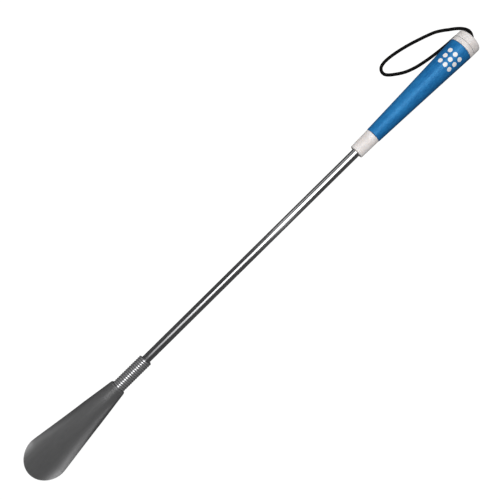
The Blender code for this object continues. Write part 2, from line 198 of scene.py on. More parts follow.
def smooth_curve(route, step):
    """Points an even step apart along a centripetal Catmull-Rom curve through the route, as the CAD cord has."""
    pts = [Vector(p) for p in route]
    pts = [2 * pts[0] - pts[1]] + pts + [2 * pts[-1] - pts[-2]]
    dense = []
    for i in range(1, len(pts) - 2):
        p0, p1, p2, p3 = pts[i - 1:i + 3]
        t0 = 0.0
        t1 = t0 + (p1 - p0).length ** 0.5
        t2 = t1 + (p2 - p1).length ** 0.5
        t3 = t2 + (p3 - p2).length ** 0.5
        for k in range(24):
            t = lerp(t1, t2, k / 24)
            a1 = (t1 - t) / (t1 - t0) * p0 + (t - t0) / (t1 - t0) * p1
            a2 = (t2 - t) / (t2 - t1) * p1 + (t - t1) / (t2 - t1) * p2
            a3 = (t3 - t) / (t3 - t2) * p2 + (t - t2) / (t3 - t2) * p3
            b1 = (t2 - t) / (t2 - t0) * a1 + (t - t0) / (t2 - t0) * a2
            b2 = (t3 - t) / (t3 - t1) * a2 + (t - t1) / (t3 - t1) * a3
            dense.append((t2 - t) / (t2 - t1) * b1 + (t - t1) / (t2 - t1) * b2)
    dense.append(pts[-2])
    runs = [0.0]
    for a, b in zip(dense, dense[1:]):
        runs.append(runs[-1] + (b - a).length)
    count = max(2, int(round(runs[-1] / step)))
    out, j = [], 0
    for k in range(count + 1):
        s = runs[-1] * k / count
        while j < len(runs) - 2 and runs[j + 1] < s:
            j += 1
        f = (s - runs[j]) / max(1e-9, runs[j + 1] - runs[j])
        out.append(dense[j].lerp(dense[j + 1], min(1.0, f)))
    return out, runs[-1]


# ============================================================================= camera
cam_data = bpy.data.cameras.new("camera")
cam_data.sensor_width = 36.0
cam_data.lens = 18.0 / math.tan(math.radians(30.5 / 2))
cam = bpy.data.objects.new("camera", cam_data)
bpy.context.scene.collection.objects.link(cam)
cam.location = (0.0065, 0.0048, 0.9115)
cam.rotation_euler = (0.0, 0.0, math.radians(-44.61))
bpy.context.scene.camera = cam


# ============================================================================= node helpers
class Nodes:
    """A short way to write a material's nodes."""

    def __init__(self, name):
        self.mat = bpy.data.materials.new(name)
        self.mat.use_nodes = True
        self.tree = self.mat.node_tree
        self.tree.nodes.clear()
        self.out = self.tree.nodes.new("ShaderNodeOutputMaterial")

    def add(self, kind, settings=None, **inputs):
        node = self.tree.nodes.new(kind)
        for key, value in (settings or {}).items():
            setattr(node, key, value)
        for key, value in inputs.items():
            self.put(node, int(key[1:]) if key[0] == "i" and key[1:].isdigit() else key.replace("_", " "), value)
        return node

    def put(self, node, key, value):
        socket = node.inputs[key]
        if isinstance(value, bpy.types.NodeSocket):
            self.tree.links.new(value, socket)
        else:
            socket.default_value = value

    def math(self, op, a, b=0.0, c=0.0, clamp=False):
        node = self.add("ShaderNodeMath", {"operation": op, "use_clamp": clamp}, i0=a, i1=b)
        if op in ("MULTIPLY_ADD", "SMOOTH_MIN", "SMOOTH_MAX", "WRAP", "COMPARE"):
            self.put(node, 2, c)
        return node.outputs[0]

    def span(self, value, a, b, lo=0.0, hi=1.0, smooth=True):
        node = self.add("ShaderNodeMapRange", {"interpolation_type": "SMOOTHSTEP" if smooth else "LINEAR"},
                        Value=value, From_Min=a, From_Max=b, To_Min=lo, To_Max=hi)
        return node.outputs[0]

    def mix(self, factor, a, b):
        node = self.add("ShaderNodeMix", {"data_type": "RGBA"})
        self.put(node, 0, factor)
        self.put(node, 6, a)
        self.put(node, 7, b)
        return node.outputs[2]

    def place(self):
        return self.add("ShaderNodeTexCoord").outputs["Object"]

    def uv(self):
        return self.add("ShaderNodeUVMap", {"uv_map": "along"}).outputs[0]

    def stretch(self, vector, x, y, z):
        return self.add("ShaderNodeVectorMath", {"operation": "MULTIPLY"}, i0=vector, i1=(x, y, z)).outputs[0]

    def noise(self, vector, scale, detail=3.0, rough=0.55, distortion=0.0):
        node = self.add("ShaderNodeTexNoise", {"noise_dimensions": "3D"}, Vector=vector, Scale=scale, Detail=detail,
                        Roughness=rough, Distortion=distortion)
        return node.outputs[0]

    def bump(self, height, strength, distance, normal=None):
        node = self.add("ShaderNodeBump", None, Strength=strength, Distance=distance, Height=height)
        if normal is not None:
            self.put(node, "Normal", normal)
        return node.outputs[0]

    def attribute(self, name):
        return self.add("ShaderNodeAttribute", {"attribute_name": name}).outputs["Fac"]

    def shader(self, **inputs):
        node = self.add("ShaderNodeBsdfPrincipled", None, **inputs)
        self.tree.links.new(node.outputs[0], self.out.inputs[0])
        return self.mat


def rgb(r, g, b):
    return (r, g, b, 1.0)


# ============================================================================= materials
def horn_steel():
    """Stamped sheet, satin dark grey, brushed along its length, with a painted highlight along its rims, where it is
    also smoother.
    """
    n = Nodes("horn_steel")
    p = n.place()
    brush = n.noise(n.stretch(p, 90.0, 2600.0, 2600.0), 1.0, 4.0, 0.6)
    streak = n.noise(n.stretch(p, 14.0, 320.0, 320.0), 1.0, 3.0, 0.5)
    cloud = n.noise(p, 38.0, 3.0, 0.5)
    speck = n.noise(p, 900.0, 2.0, 0.5)
    rim = n.attribute("rim")
    # painted highlight: the sheet is painted lighter and made smoother within about 1.5 mm of its rims, with a cloudy
    # inner edge
    painted_rim_highlight = n.span(n.math("ADD", rim, n.math("MULTIPLY", n.math("SUBTRACT", cloud, 0.5), 1.6)), 1.5, 0.15)
    shade = n.mix(n.span(n.math("ADD", n.math("MULTIPLY", streak, 0.6), n.math("MULTIPLY", cloud, 0.4)), 0.30, 0.70),
                  rgb(0.222, 0.222, 0.225), rgb(0.242, 0.242, 0.245))
    # the painted rim highlight lifts the sheet's colour towards a lighter grey
    colour = n.mix(n.math("MULTIPLY", painted_rim_highlight, 0.55), shade, rgb(0.44, 0.44, 0.445))
    rough = n.math("ADD", n.span(brush, 0.3, 0.7, 0.36, 0.44), n.math("MULTIPLY", n.math("SUBTRACT", speck, 0.5), 0.10))
    rough = n.math("SUBTRACT", rough, n.math("MULTIPLY", painted_rim_highlight, 0.12))
    height = n.math("ADD", n.math("MULTIPLY", brush, 0.6), n.math("MULTIPLY", speck, 0.4))
    return n.shader(Base_Color=colour, Metallic=0.68, Roughness=rough, Normal=n.bump(height, 0.22, 0.00004))


def spring_wire():
    n = Nodes("spring_wire")
    uv = n.uv()
    draw = n.noise(n.stretch(uv, 260.0, 26.0, 1.0), 1.0, 3.0, 0.6)
    spots = n.noise(n.stretch(uv, 900.0, 7.0, 1.0), 1.0, 2.0, 0.5)
    # painted shade between the turns: the wire is painted darker on its sides and inner face, where the turns meet, and
    # is rougher there too
    side = n.attribute("side")
    colour = n.mix(n.span(spots, 0.35, 0.7), rgb(0.52, 0.52, 0.53), rgb(0.62, 0.62, 0.63))
    colour = n.mix(n.math("MULTIPLY", side, 0.60), colour, rgb(0.26, 0.26, 0.265))
    rough = n.math("ADD", n.span(draw, 0.3, 0.7, 0.17, 0.27), n.math("MULTIPLY", side, 0.2))
    return n.shader(Base_Color=colour, Metallic=0.82, Roughness=rough, Normal=n.bump(draw, 0.12, 0.00003))


def chrome():
    """Plated tube: bright, with faint lengthwise polishing lines and a few specks."""
    n = Nodes("shaft_chrome")
    p = n.place()
    lines = n.noise(n.stretch(p, 30.0, 3200.0, 3200.0), 1.0, 3.0, 0.55)
    haze = n.noise(n.stretch(p, 26.0, 60.0, 60.0), 1.0, 3.0, 0.5)
    pits = n.span(n.noise(p, 1500.0, 1.0, 0.5), 0.77, 0.83)
    colour = n.mix(n.span(haze, 0.3, 0.7), rgb(0.70, 0.70, 0.715), rgb(0.77, 0.77, 0.785))
    colour = n.mix(n.math("MULTIPLY", pits, 0.6), colour, rgb(0.30, 0.30, 0.31))
    rough = n.math("ADD", n.span(haze, 0.3, 0.7, 0.120, 0.155), n.math("MULTIPLY", lines, 0.03))
    rough = n.math("ADD", rough, n.math("MULTIPLY", pits, 0.2))
    height = n.math("SUBTRACT", n.math("MULTIPLY", lines, 0.5), n.math("MULTIPLY", pits, 0.5))
    return n.shader(Base_Color=colour, Metallic=1.0, Roughness=rough, Normal=n.bump(height, 0.035, 0.00002))


def white_plastic(name, warm):
    """Moulded white plastic, faintly warm, with a fine satin grain and a little handling dirt."""
    n = Nodes(name)
    p = n.place()
    cloud = n.noise(p, 70.0, 3.0, 0.55)
    dirt = n.noise(n.stretch(p, 1.0, 1.0, 1.0), 420.0, 4.0, 0.6)
    grain = n.noise(p, 5200.0, 2.0, 0.5)
    light = [c * (1.0 - 0.09 * warm) for c in (0.796, 0.760, 0.745)]
    low = [c * (1.0 - 0.09 * warm) for c in (0.750, 0.702, 0.684)]
    base = n.mix(n.span(cloud, 0.35, 0.68), rgb(*light), rgb(*low))
    base = n.mix(n.math("MULTIPLY", n.span(dirt, 0.60, 0.82), 0.35), base, rgb(0.56, 0.52, 0.48))
    rough = n.math("ADD", n.span(grain, 0.3, 0.7, 0.36, 0.46), n.math("MULTIPLY", cloud, 0.06))
    return n.shader(Base_Color=base, Roughness=rough, Specular_IOR_Level=0.45, Subsurface_Weight=0.30,
                    Subsurface_Radius=(1.0, 0.9, 0.8), Subsurface_Scale=0.004,
                    Normal=n.bump(grain, 0.10, 0.00003))


def grip_blue():
    """Blue grip cover: satin, with a fine fibrous mottle that runs along the grip. Near its wide end it carries a plain
    block of white printed dots."""
    n = Nodes("grip_blue")
    p = n.place()
    fibre = n.noise(n.stretch(p, 420.0, 1500.0, 1500.0), 1.0, 4.0, 0.62)
    mottle = n.noise(n.stretch(p, 150.0, 420.0, 420.0), 1.0, 3.0, 0.6)
    cloud = n.noise(n.stretch(p, 22.0, 60.0, 60.0), 1.0, 3.0, 0.5)
    grain = n.noise(p, 3600.0, 2.0, 0.5)
    weave = n.math("ADD", n.math("MULTIPLY", fibre, 0.6), n.math("MULTIPLY", mottle, 0.4))
    colour = n.mix(n.span(weave, 0.36, 0.66), rgb(0.009, 0.120, 0.350), rgb(0.022, 0.212, 0.520))
    colour = n.mix(n.math("MULTIPLY", n.span(cloud, 0.42, 0.72), 0.35), colour, rgb(0.036, 0.260, 0.590))
    # white printed dots, three by three, on the grip's upper side
    sep = n.add("ShaderNodeSeparateXYZ", None, Vector=p)
    x = n.math("MULTIPLY", n.math("SUBTRACT", sep.outputs[0], 0.2735), 1000.0)
    a = n.math("ARCTAN2", sep.outputs[1], n.math("SUBTRACT", sep.outputs[2], AXIS_Z * MM))
    y = n.math("MULTIPLY", a, 12.6)
    inside = n.math("MULTIPLY", n.math("LESS_THAN", n.math("ABSOLUTE", x), 10.2),
                    n.math("LESS_THAN", n.math("ABSOLUTE", y), 10.2))
    cx = n.math("SUBTRACT", x, n.math("MULTIPLY", n.math("ROUND", n.math("DIVIDE", x, 6.8)), 6.8))
    cy = n.math("SUBTRACT", y, n.math("MULTIPLY", n.math("ROUND", n.math("DIVIDE", y, 6.8)), 6.8))
    away = n.math("SQRT", n.math("ADD", n.math("MULTIPLY", cx, cx), n.math("MULTIPLY", cy, cy)))
    ragged = n.math("ADD", away, n.math("MULTIPLY", n.math("SUBTRACT", grain, 0.5), 0.25))
    dot = n.math("MULTIPLY", inside, n.span(ragged, 2.45, 2.25))
    worn = n.math("SUBTRACT", 1.0, n.math("MULTIPLY", n.span(fibre, 0.62, 0.80), 0.5))
    dot = n.math("MULTIPLY", dot, worn)
    colour = n.mix(dot, colour, rgb(0.92, 0.89, 0.88))
    rough = n.math("ADD", n.span(weave, 0.3, 0.7, 0.37, 0.28), n.math("MULTIPLY", grain, 0.05))
    height = n.math("ADD", n.math("MULTIPLY", fibre, 0.7), n.math("MULTIPLY", grain, 0.3))
    height = n.math("ADD", height, n.math("MULTIPLY", dot, 0.5))
    return n.shader(Base_Color=colour, Roughness=rough, Specular_IOR_Level=0.42, Specular_Tint=(0.36, 0.80, 1.0, 1.0),
                    Normal=n.bump(height, 0.30, 0.00006))


def cord_black(name):
    """Braided cord: black yarn, with painted shade in the valleys between the strands: their tops are painted a little
    greyer than the valleys.
    """
    n = Nodes(name)
    uv = n.uv()
    yarn = n.noise(n.stretch(uv, 2600.0, 9.0, 1.0), 1.0, 3.0, 0.6)
    fluff = n.noise(n.stretch(uv, 400.0, 4.0, 1.0), 1.0, 3.0, 0.6)
    # painted shade: darker in the valleys between the strands, lighter on their tops
    top = n.attribute("top")
    colour = n.mix(n.span(top, 0.25, 0.95), rgb(0.0010, 0.0008, 0.0008), rgb(0.0045, 0.0036, 0.0034))
    colour = n.mix(n.math("MULTIPLY", n.span(fluff, 0.5, 0.8), 0.5), colour, rgb(0.010, 0.0085, 0.008))
    rough = n.span(yarn, 0.3, 0.7, 0.62, 0.82)
    return n.shader(Base_Color=colour, Roughness=rough, Specular_IOR_Level=0.14, Sheen_Weight=0.02,
                    Sheen_Roughness=0.5, Normal=n.bump(yarn, 0.35, 0.00008))


def turned_steel(name, tone):
    """Turned or ground steel, with fine rings round its axis."""
    n = Nodes(name)
    p = n.place()
    rings = n.noise(n.stretch(p, 3000.0, 40.0, 40.0), 1.0, 2.0, 0.5)
    cloud = n.noise(p, 220.0, 3.0, 0.5)
    colour = n.mix(n.span(cloud, 0.35, 0.7), rgb(tone, tone, tone * 1.01), rgb(tone * 0.8, tone * 0.8, tone * 0.8))
    rough = n.span(rings, 0.3, 0.7, 0.26, 0.40)
    return n.shader(Base_Color=colour, Metallic=1.0, Roughness=rough, Normal=n.bump(rings, 0.15, 0.00003))


def inner_plastic(name, tone):
    """Plain moulded plastic of the pieces inside, with a sparkle-eroded grain."""
    n = Nodes(name)
    p = n.place()
    grain = n.noise(p, 2400.0, 3.0, 0.6)
    cloud = n.noise(p, 120.0, 3.0, 0.5)
    colour = n.mix(n.span(cloud, 0.35, 0.7), rgb(*tone), rgb(*[c * 0.8 for c in tone]))
    rough = n.span(grain, 0.3, 0.7, 0.48, 0.62)
    return n.shader(Base_Color=colour, Roughness=rough, Normal=n.bump(grain, 0.25, 0.00005))


# ============================================================================= the wrist loop
CORD_D = 3.2
GROUND = CORD_D / 2 + 0.12
UPPER_LEG = AXIS_Z + 1.75
LOWER_LEG = AXIS_Z - 1.75
LOOP_ROUTE = [
    (300.9, 0.0, UPPER_LEG), (302.2, 0.0, UPPER_LEG), (303.6, 0.0, UPPER_LEG), (306.2, 0.6, 14.8),
    (308.3, 2.2, 14.4), (309.6, 4.6, 13.8), (309.9, 7.6, 12.9), (308.5, 12.0, 10.8), (304.8, 17.0, 8.0), (299.4, 21.8, 5.1),
    (294.0, 26.3, 2.9), (288.6, 29.7, 2.0), (282.0, 32.4, GROUND), (273.0, 35.5, GROUND), (259.0, 39.7, GROUND),
    (245.8, 42.6, GROUND), (236.4, 43.8, GROUND), (230.0, 43.6, GROUND), (226.1, 42.2, GROUND),
    (223.8, 39.2, GROUND), (223.7, 35.6, GROUND), (225.6, 32.6, GROUND), (231.0, 28.1, GROUND), (239.8, 22.5, GROUND),
    (250.0, 18.6, GROUND), (260.0, 16.3, GROUND), (271.1, 14.5, GROUND), (281.0, 13.3, GROUND),
    (291.0, 12.5, GROUND), (299.6, 12.0, 1.9), (305.0, 11.1, 2.7), (308.6, 9.1, 4.2), (310.3, 6.3, 6.1),
    (310.4, 3.2, 8.2), (309.1, 0.7, 9.9), (306.8, -0.8, 11.0), (303.8, -1.2, 11.4), (300.9, -1.2, LOWER_LEG),
]


def braid(name, points, radius, around=40, carriers=8, pitch=9.6, depth=0.26, closed=False):
    """A round braid: two families of strands wind against each other, each going over one and under one."""
    p = np.array([tuple(q) for q in points], float)
    t, normal, twist = carry_frames(p, closed)
    side = np.cross(t, normal)
    n = len(p)
    runs = np.concatenate([[0.0], np.cumsum(np.linalg.norm(np.diff(p, axis=0), axis=1))])
    total = runs[-1] + (np.linalg.norm(p[0] - p[-1]) if closed else 0.0)
    if closed:  # a whole number of turns, so that the pattern meets itself
        pitch = total / max(1, round(total / pitch))
    turns = np.arange(around) / around
    u = runs[:, None]
    v = turns[None, :] - (twist / (2 * math.pi) * (np.arange(n) / n))[:, None] if closed else np.repeat(turns[None, :], n, 0)
    a = carriers * (turns[None, :] + u / pitch)
    b = carriers * (turns[None, :] - u / pitch)
    fa, fb = a - np.floor(a) - 0.5, b - np.floor(b) - 0.5
    over = (np.floor(a) + np.floor(b)) % 2 < 0.5
    across = np.where(over, fa, fb)
    along = np.where(over, fb, fa)
    h = np.cos(math.pi * across) ** 0.7 * (0.45 + 0.55 * np.cos(math.pi * along) ** 0.6)
    r = radius - depth * (1 - h)
    if not closed:  # the ends are pulled tight
        end = np.minimum(u, total - u)
        r = r * (1 - 0.12 * np.clip(1 - end / 1.0, 0, 1))
    angle = 2 * math.pi * v
    ring = (p[:, None, :] + r[..., None] * (np.cos(angle)[..., None] * normal[:, None, :]
                                           + np.sin(angle)[..., None] * side[:, None, :]))
    verts = ring.reshape(-1, 3)
    # the strands' height, which the cord's material turns into painted shade in the valleys
    top = h.reshape(-1)
    faces, uvs = [], []
    for i in range(n if closed else n - 1):
        j = (i + 1) % n
        u0 = runs[i] * MM
        u1 = (runs[i + 1] if i + 1 < n else total) * MM
        for k in range(around):
            m = (k + 1) % around
            faces.append((i * around + k, i * around + m, j * around + m, j * around + k))
            v0, v1 = k / around, (k + 1) / around
            uvs += [(u0, v0), (u0, v1), (u1, v1), (u1, v0)]
    if not closed:
        for i, flip in ((0, False), (n - 1, True)):
            ids = [i * around + k for k in range(around)]
            faces.append(tuple(ids) if not flip else tuple(reversed(ids)))
            uvs += [(runs[i] * MM, k / around) for k in range(around)]
    return mesh_piece(name, verts, faces, uvs, {"top": top})


loop_points, loop_length = smooth_curve(LOOP_ROUTE, 0.24)
loop = braid("wrist_loop_cord", loop_points, CORD_D / 2 + 0.11, depth=0.22)
dress(loop, cord_black("cord_black"))
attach(loop, "handle")
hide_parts("wrist_loop")

knot_points = []
for i in range(300):
    w = 2 * math.pi * i / 300
    out = 3.6 + 1.6 * math.cos(3 * w)
    knot_points.append((from_tip(602.4) + 1.6 * math.sin(3 * w), out * math.cos(2 * w), AXIS_Z + out * math.sin(2 * w)))
knot = braid("loop_end_knot", knot_points, 1.42, around=36, pitch=9.0, depth=0.22, closed=True)
dress(knot, cord_black("knot_black"))
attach(knot, "handle")
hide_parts("loop_knot")


# ============================================================================= the horn
WIDEST_AT, HORN_END, SOCKET_START = 23.7, 125.4, 110.5
HALF_WIDTH, SHEET, TAPER = 22.5, 1.2, 0.1408
WIDE_ARC, ROLL_ARC, CRIMP, SAG_POWER = 44.5, 171.0, 1.8, 1.34
COIL_R, WIRE_R, GAP = 5.8, 1.0, 0.3


def horn_half_width(x):
    if x < WIDEST_AT:
        t = (WIDEST_AT - x) / WIDEST_AT
        return HALF_WIDTH * max(0.0, 1.0 - t ** 2.05) ** (1.0 / 2.05)
    soft = 2.5
    straight = min(x, HORN_END - CRIMP)
    run = math.sqrt((straight - WIDEST_AT) ** 2 + soft ** 2) - soft
    w = HALF_WIDTH - TAPER * run
    if x > straight:
        mouth = COIL_R + WIRE_R + GAP + SHEET
        w = lerp(w, mouth, ((x - straight) / CRIMP) ** 1.4)
    return w


def horn_arc(x):
    """Half angle of the sheet's arc and its outer radius at a station."""
    wide = math.radians(WIDE_ARC)
    w = horn_half_width(x)
    if x <= WIDEST_AT:
        r = HALF_WIDTH / math.sin(wide)
        return math.asin(min(1.0, w / r)), r
    t = min(1.0, (x - WIDEST_AT) / (SOCKET_START - WIDEST_AT))
    phi = lerp(wide, math.radians(ROLL_ARC), 0.25 * t + 0.75 * t ** 5)
    return phi, w / math.sin(min(phi, math.pi / 2))


def horn_fall():
    """How fast the crown line falls: as much as lets the sheet's lowest edge just touch the ground."""
    tip = [WIDEST_AT * (1.0 - math.cos(math.pi / 2 * k / 9)) for k in range(1, 10)]
    body = [lerp(WIDEST_AT, 92.0, k / 11) for k in range(1, 12)]
    top = AXIS_Z + horn_half_width(SOCKET_START)
    falls = []
    for x in [0.06] + tip + body + [lerp(92.0, SOCKET_START, k / 7) for k in range(1, 8)]:
        if x >= SOCKET_START - 12.0:
            continue
        phi, r = horn_arc(x)
        u = SOCKET_START - x
        falls.append((top + TAPER * u - (r - (r - SHEET) * math.cos(min(phi, math.pi)))) / u ** SAG_POWER)
    return min(falls)


FALL = horn_fall()


def horn_crown(x):
    u = SOCKET_START - x
    if u <= 0:
        return AXIS_Z + horn_half_width(x)
    return AXIS_Z + horn_half_width(SOCKET_START) + TAPER * u - FALL * u ** SAG_POWER


def make_horn():
    """The sheet as a closed skin: two layers that close on each other round the rim in a half round."""
    half = SHEET / 2
    tip = [WIDEST_AT * (1.0 - math.cos(math.pi / 2 * k / 44)) for k in range(1, 45)]
    body = [lerp(WIDEST_AT, 88.0, k / 50) for k in range(1, 51)]
    roll = [lerp(88.0, SOCKET_START, k / 34) for k in range(1, 35)]
    socket = [lerp(SOCKET_START, HORN_END - 2.4, k / 14) for k in range(1, 15)]
    mouth = [HORN_END - d for d in (2.1, 1.8, 1.5, 1.2, 0.95, 0.75, 0.6, 0.45, 0.3, 0.18, 0.08, 0.02, 0.0)]
    stations = tip + body + roll + socket + mouth
    # across the sheet, as a share of its half arc, closer together at the rims
    inner = np.linspace(-1, 1, 49)
    shares = np.sign(inner) * (1 - (1 - np.abs(inner)) ** 1.15)
    rim_steps = np.array([0.0, 0.03, 0.09, 0.18, 0.32, 0.52, 0.85])
    # the outline in the flat sheet, for the distance to it
    ox = np.concatenate([WIDEST_AT * (1 - np.cos(np.linspace(0, math.pi / 2, 260))), np.linspace(WIDEST_AT, HORN_END, 900)[1:]])
    oy = np.array([horn_arc(x)[0] * horn_arc(x)[1] for x in ox])
    rows_top, rows_low, rim_values = [], [], []
    for x in stations:
        phi, r = horn_arc(x)
        crown = horn_crown(x)
        reach = phi * r
        room = min(1.0, reach / 4.0)
        edge = 1 - rim_steps * room / max(reach, 1e-6)
        inside = shares[(np.abs(shares) < edge[-1] - 0.004)]
        pad = (len(shares) - len(inside)) // 2
        if pad:
            inside = np.linspace(inside[0], inside[-1], len(shares)) if len(inside) > 1 else np.linspace(-0.4, 0.4, len(shares)) * edge[-1]
        v = np.concatenate([-edge, inside, edge[::-1]])
        v = np.sort(v)
        s = v * reach
        d = np.sqrt(((ox[:, None] - x) ** 2 + (oy[:, None] - np.abs(s)[None, :]) ** 2).min(0))
        d = np.minimum(d, HORN_END - x)
        d[0] = d[-1] = 0.0
        h = np.where(d < half, np.sqrt(np.clip(half ** 2 - (half - np.minimum(d, half)) ** 2, 0, None)), half)
        a = v * phi
        middle = r - half
        # the rim's half round reaches the sheet's own edge line
        for rows, rad in ((rows_top, middle + h), (rows_low, middle - h)):
            rows.append(np.stack([np.full_like(v, from_tip(x)), rad * np.sin(a), crown - r + rad * np.cos(a)], 1))
        rim_values.append(d)
    top, low, rim = np.array(rows_top), np.array(rows_low), np.array(rim_values)
    m, c = top.shape[:2]
    apex_z = horn_crown(0.0) - half
    verts = [(from_tip(0.0), 0.0, apex_z)]
    rims = [0.0]
    index_top, index_low = np.zeros((m, c), int), np.zeros((m, c), int)
    for i in range(m):
        for k in range(c):
            index_top[i, k] = len(verts)
            verts.append(tuple(top[i, k]))
            rims.append(rim[i, k])
            if k in (0, c - 1) or i == m - 1:
                index_low[i, k] = index_top[i, k]
            else:
                index_low[i, k] = len(verts)
                verts.append(tuple(low[i, k]))
                rims.append(rim[i, k])
    faces = []
    for k in range(c - 1):
        faces.append((0, index_top[0, k], index_top[0, k + 1]))
        faces.append((0, index_low[0, k + 1], index_low[0, k]))
    for i in range(m - 1):
        for k in range(c - 1):
            faces.append((index_top[i, k], index_top[i + 1, k], index_top[i + 1, k + 1], index_top[i, k + 1]))
            q = [index_low[i, k], index_low[i, k + 1], index_low[i + 1, k + 1], index_low[i + 1, k]]
            faces.append(tuple(q))
    return mesh_piece("horn_shell", verts, faces, None, {"rim": rims})


horn = dress(make_horn(), horn_steel())
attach(horn, "horn")
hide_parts("blade")

# the headed stud in the spring's end, seen from below through the rolled sheet's throat
head_a, head_b = 106.8, 112.0 - 2 * GAP
r_a = horn_half_width(head_a) - SHEET - 0.75
r_b = horn_half_width(head_b) - SHEET - 0.45
stem, stud_end = COIL_R - WIRE_R - 0.45, HORN_END - 1.0
stud = lathe("stud_turned", round_corners(
    [(head_a, 0.0), (head_a, r_a), (head_b, r_b), (head_b, stem), (stud_end, stem), (stud_end, 0.0)],
    [0, 0.9, 0.3, 0.2, 1.1, 0], closed=False), 72, closed=False)
dress(stud, turned_steel("stud_steel", 0.45))
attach(stud, "horn")
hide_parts("socket_stud")


# ============================================================================= the spring neck
SPRING_A, SPRING_B, PITCH, ENDS_AT = 112.0, 164.0, 2.35, 222.0
SHOWN_WIRE_R, SHOWN_COIL_R = 1.15, 5.83
MEET = 140.65


def make_coil(name, t0, t1, per_turn=44, sides=14):
    """Part of the close-wound coil, between two shares of its length. Each end is a flat cut with a small burr-free edge."""
    turns = (SPRING_B - SPRING_A - 2 * WIRE_R) / PITCH
    n = int(round(turns * (t1 - t0) * per_turn))
    start = math.radians(ENDS_AT) - 2 * math.pi * turns
    lead = (SPRING_B - SPRING_A - 2 * WIRE_R)
    verts, side, faces, uvs = [], [], [], []
    shares = [lerp(t0, t1, i / n) for i in range(n + 1)]
    rounds = [1.0] * len(shares)
    step = shares[1] - shares[0]
    wire_run = 2 * math.pi * SHOWN_COIL_R * turns
    small = 0.16 / wire_run
    shares = [t0, t0 + small] + shares[1:-1] + [t1 - small, t1]
    rounds = [0.86, 1.0] + rounds[1:-1] + [1.0, 0.86]
    if t0 > 0:
        rounds[0] = 1.0
    if t1 < 1:
        rounds[-1] = 1.0
    for t, k in zip(shares, rounds):
        a = start + 2 * math.pi * turns * t
        centre = np.array([from_tip(SPRING_A + WIRE_R + t * lead), SHOWN_COIL_R * math.cos(a),
                           AXIS_Z + SHOWN_COIL_R * math.sin(a)])
        out = np.array([0.0, math.cos(a), math.sin(a)])
        tangent = np.array([lead / (2 * math.pi * turns), -SHOWN_COIL_R * math.sin(a), SHOWN_COIL_R * math.cos(a)])
        tangent /= np.linalg.norm(tangent)
        b = np.cross(tangent, out)
        for j in range(sides):
            f = 2 * math.pi * j / sides
            verts.append(centre + SHOWN_WIRE_R * k * (math.cos(f) * out + math.sin(f) * b))
            # share of painted shade between the turns: none on the wire's outer face, full on its sides and inner face
            side.append(float(smooth01((0.80 - math.cos(f)) / 0.55)))
    m = len(shares)
    for i in range(m - 1):
        u0, u1 = shares[i] * wire_run * MM, shares[i + 1] * wire_run * MM
        for j in range(sides):
            q = (j + 1) % sides
            faces.append((i * sides + j, i * sides + q, (i + 1) * sides + q, (i + 1) * sides + j))
            v0, v1 = j / sides, (j + 1) / sides
            uvs += [(u0, v0), (u0, v1), (u1, v1), (u1, v0)]
    for i, flip in ((0, False), (m - 1, True)):
        ids = [i * sides + j for j in range(sides)]
        faces.append(tuple(ids) if not flip else tuple(reversed(ids)))
        uvs += [(shares[i] * wire_run * MM, j / sides) for j in range(sides)]
    return mesh_piece(name, verts, faces, uvs, {"side": side}, sharp=50.0)


wire = spring_wire()
meet_share = (MEET - SPRING_A - WIRE_R) / (SPRING_B - SPRING_A - 2 * WIRE_R)
lower_coil = dress(make_coil("spring_lower", 0.0, meet_share), wire)
upper_coil = dress(make_coil("spring_upper", meet_share, 1.0), wire)
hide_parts("flex_spring")
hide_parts("flex_spring")
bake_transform(upper_coil)
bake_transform(lower_coil)


# ============================================================================= the shaft
SHAFT_A, SHAFT_B, SHAFT_R, SHAFT_WALL = 157.5, 560.0, 4.5, 1.0
PIN_AT, PIN_R = 540.0, 1.5


def drill_across(ob, radius, x, length):
    """A round hole along Y through ob, cut and applied."""
    ring = bmesh.new()
    bmesh.ops.create_cone(ring, cap_ends=True, segments=48, radius1=radius * MM, radius2=radius * MM, depth=length * MM,
                          matrix=Matrix.Translation((from_tip(x) * MM, 0, AXIS_Z * MM)) @ Matrix.Rotation(math.pi / 2, 4, "X"))
    mesh = bpy.data.meshes.new("cut")
    ring.to_mesh(mesh)
    ring.free()
    cutter = bpy.data.objects.new("cut", mesh)
    bpy.context.scene.collection.objects.link(cutter)
    mod = ob.modifiers.new("hole", "BOOLEAN")
    mod.operation, mod.solver, mod.object = "DIFFERENCE", "EXACT", cutter
    bpy.context.view_layer.update()
    done = bpy.data.meshes.new_from_object(ob.evaluated_get(bpy.context.evaluated_depsgraph_get()))
    ob.modifiers.clear()
    ob.data = done
    bpy.data.objects.remove(cutter, do_unlink=True)
    return ob


stops = [lerp(SHAFT_A, SHAFT_B, k / 24) for k in range(1, 24)]
outline = round_corners(
    [(SHAFT_A, SHAFT_R - SHAFT_WALL), (SHAFT_A, SHAFT_R)] + [(x, SHAFT_R) for x in stops] + [(SHAFT_B, SHAFT_R), (SHAFT_B, SHAFT_R - SHAFT_WALL)],
    [0.2, 0.35] + [0] * len(stops) + [0.35, 0.2], 5)
shaft = lathe("shaft_plated", outline, 96)
drill_across(shaft, PIN_R + GAP, PIN_AT, 30.0)
dress(shaft, chrome())
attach(shaft, "handle")
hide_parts("shaft_tube")


# ============================================================================= the grip
FERRULE_A, FERRULE_B, SLEEVE_A, SLEEVE_B = 452.7, 475.8, 476.1, 596.2
FERRULE_R, SLEEVE_R, SLEEVE_WALL = (7.5, 7.95), (8.3, 13.15), 2.0
COLLAR_A, COLLAR_B, CAP_A = 596.5, 601.3, 601.6
CAP_R, CAP_ROUND, HOLE_R, SPIGOT_R, CAP_SPIGOT_R, CAVITY_R = 13.2, 2.4, 3.8, 6.0, 10.5, 8.2


def sleeve_radius(x):
    t = (x - SLEEVE_A) / (SLEEVE_B - SLEEVE_A)
    return lerp(SLEEVE_R[0], SLEEVE_R[1], t - 0.02 * math.sin(math.pi * t))


